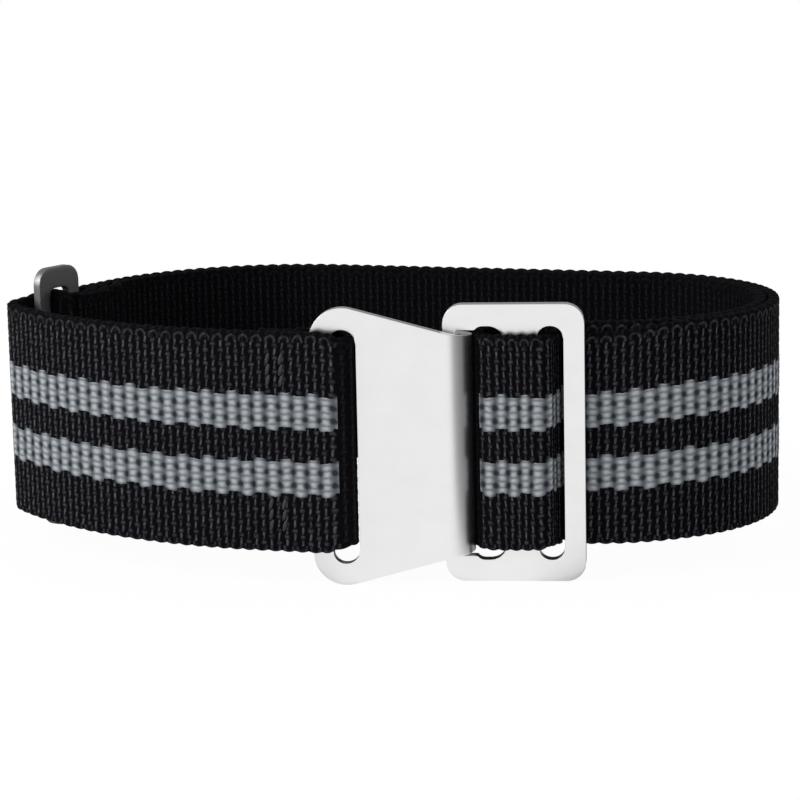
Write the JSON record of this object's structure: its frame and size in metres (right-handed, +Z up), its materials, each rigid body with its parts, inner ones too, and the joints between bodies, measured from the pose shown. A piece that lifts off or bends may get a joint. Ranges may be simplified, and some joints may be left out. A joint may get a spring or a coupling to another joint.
{
  "type": "elastic watch strap",
  "caption": "Closed loop of black elastic webbing with grey stripes, fastened by a flat steel hook and frame and set to length by a small slide",
  "frame": {"origin": "bottom centre of the box round the whole strap, on the surface that the clasp's lower edge stands on", "axes": "+X along the clasp, from the hook plate to the frame; +Y from the clasp across the wrist space to the back where the watch sits; +Z up, along the webbing's width"},
  "size_m": [0.0746, 0.0446, 0.0263],
  "materials": {
    "webbing": "ribbed elastic weave, black with two grey stripes",
    "steel": "satin stainless steel",
    "slide_steel": "satin stainless steel, duller",
    "thread": "black sewing thread"
  },
  "bodies": {
    "strap": {"webbing_front_left": "webbing", "webbing_left_turn": "webbing", "webbing_back_inner": "webbing", "webbing_back_outer": "webbing", "webbing_right_turn_inner": "webbing", "webbing_right_turn_outer": "webbing", "webbing_frame_loop": "webbing"},
    "frame": {"clasp_frame": "steel"},
    "hook_end": {"webbing_hook_fold": "webbing", "hook_seam_upper": "thread", "hook_seam_lower": "thread"},
    "hook": {"hook_plate": "steel"},
    "adjuster": {"adjuster_slide": "slide_steel", "webbing_adjuster_pass": "webbing", "webbing_adjuster_fold": "webbing", "adjuster_seam_upper": "thread", "adjuster_seam_lower": "thread"}
  },
  "joints": [
    {"name": "clasp_release", "type": "slide", "parent": "strap", "child": "hook_end", "axis": [0.7604, -0.6494, 0], "range_m": [0, 0.008], "stiffness_N_per_m": 150, "deforming": ["webbing_front_left", "webbing_frame_loop"]},
    {"name": "hook_swing", "type": "hinge", "parent": "hook_end", "child": "hook", "pos_m": [-0.00453, -0.02028, 0.0128], "axis": [0, 0, -1], "range_deg": [0, 2]},
    {"name": "frame_swing", "type": "hinge", "parent": "strap", "child": "frame", "pos_m": [0.01357, -0.01848, 0.0128], "axis": [0, 0, -1], "range_deg": [0, 3]},
    {"name": "adjuster_travel", "type": "hinge", "parent": "strap", "child": "adjuster", "pos_m": [-0.01204, 0.0013, 0.0134], "axis": [0, 0, -1], "range_deg": [0, 20], "deforming": ["webbing_back_inner", "webbing_back_outer"]}
  ]
}
